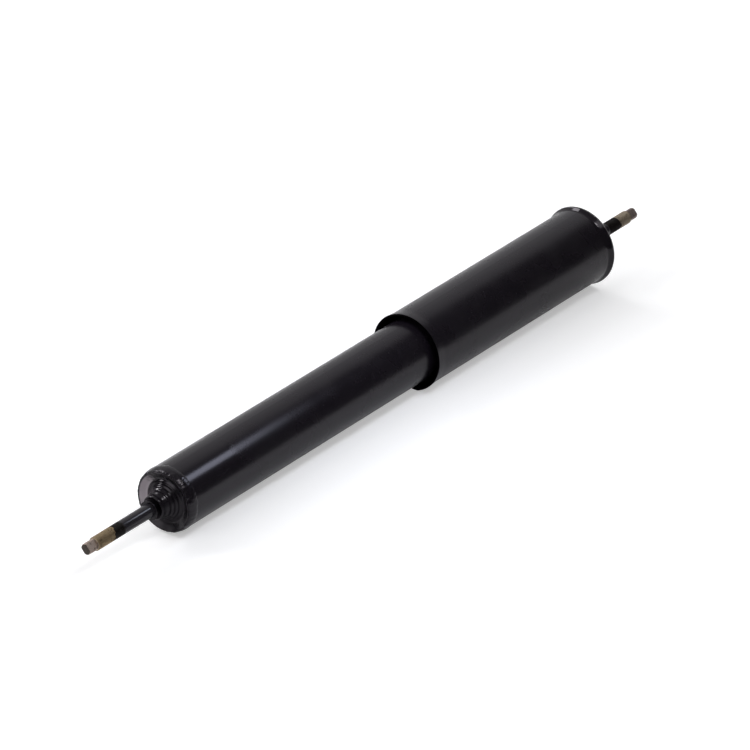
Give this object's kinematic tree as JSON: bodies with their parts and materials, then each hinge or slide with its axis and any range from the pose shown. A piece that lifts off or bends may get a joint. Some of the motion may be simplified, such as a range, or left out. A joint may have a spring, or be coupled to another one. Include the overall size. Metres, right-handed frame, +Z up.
{
  "type": "gas shock absorber",
  "caption": "Telescopic twin-tube gas shock absorber with a threaded stem at each end, a sliding rod and a dust tube over the reservoir tube, in satin black paint.",
  "frame": {"origin": "on the axis at the seat of the lower stem, where the boss ends and the plain shank begins", "axes": "+X along the absorber from its foot to its rod end, +Z up as it lies, at full extension"},
  "size_m": [0.6359, 0.0606, 0.0606],
  "materials": {
    "black_paint": "satin black enamel sprayed over steel",
    "weld_bead": "satin black enamel over a rippled weld",
    "stem_steel": "black enamel on the shank, bare oiled steel on the thread",
    "chromed_rod": "hard chrome, ground and polished",
    "drawn_steel": "cold drawn, lightly oiled",
    "sintered_iron": "steam treated sintered iron",
    "spring_steel": "hardened and tempered strip",
    "bush_bronze": "bronze lined bush",
    "seal_rubber": "moulded nitrile rubber",
    "buffer_plastic": "natural polyurethane",
    "band_plastic": "bronze filled PTFE"
  },
  "bodies": {
    "reservoir": {"lower_stem": "stem_steel", "base_cup": "black_paint", "foot_weld": "weld_bead", "reservoir_tube": "black_paint", "pressure_tube": "drawn_steel", "base_valve_body": "sintered_iron", "base_bleed_discs": "spring_steel", "base_check_disc": "spring_steel", "base_check_spring": "spring_steel", "base_valve_rivet": "drawn_steel", "rod_guide": "sintered_iron", "guide_bush": "bush_bronze", "guide_ring": "seal_rubber", "rod_seal": "seal_rubber", "seal_garter": "spring_steel", "seal_cover": "drawn_steel"},
    "band": {"piston_band": "band_plastic"},
    "rod": {"piston_rod": "chromed_rod", "piston": "sintered_iron", "blow_off_disc": "spring_steel", "blow_off_spring": "spring_steel", "backing_washer": "drawn_steel", "rebound_discs": "spring_steel", "support_washer": "drawn_steel", "piston_nut": "drawn_steel", "stop_collar": "drawn_steel", "rebound_buffer": "buffer_plastic", "dust_tube": "black_paint", "top_lid": "black_paint", "rod_weld": "weld_bead"}
  },
  "joints": [
    {"name": "rod_slide", "type": "slide", "parent": "reservoir", "child": "band", "axis": [-1, 0, 0], "range_m": [0, 0.18], "stiffness_N_per_m": 165, "springref_m": -0.345},
    {"name": "rod_turn", "type": "hinge", "parent": "band", "child": "rod", "pos_m": [0.258, 0, 0], "axis": [1, 0, 0], "continuous": true}
  ]
}
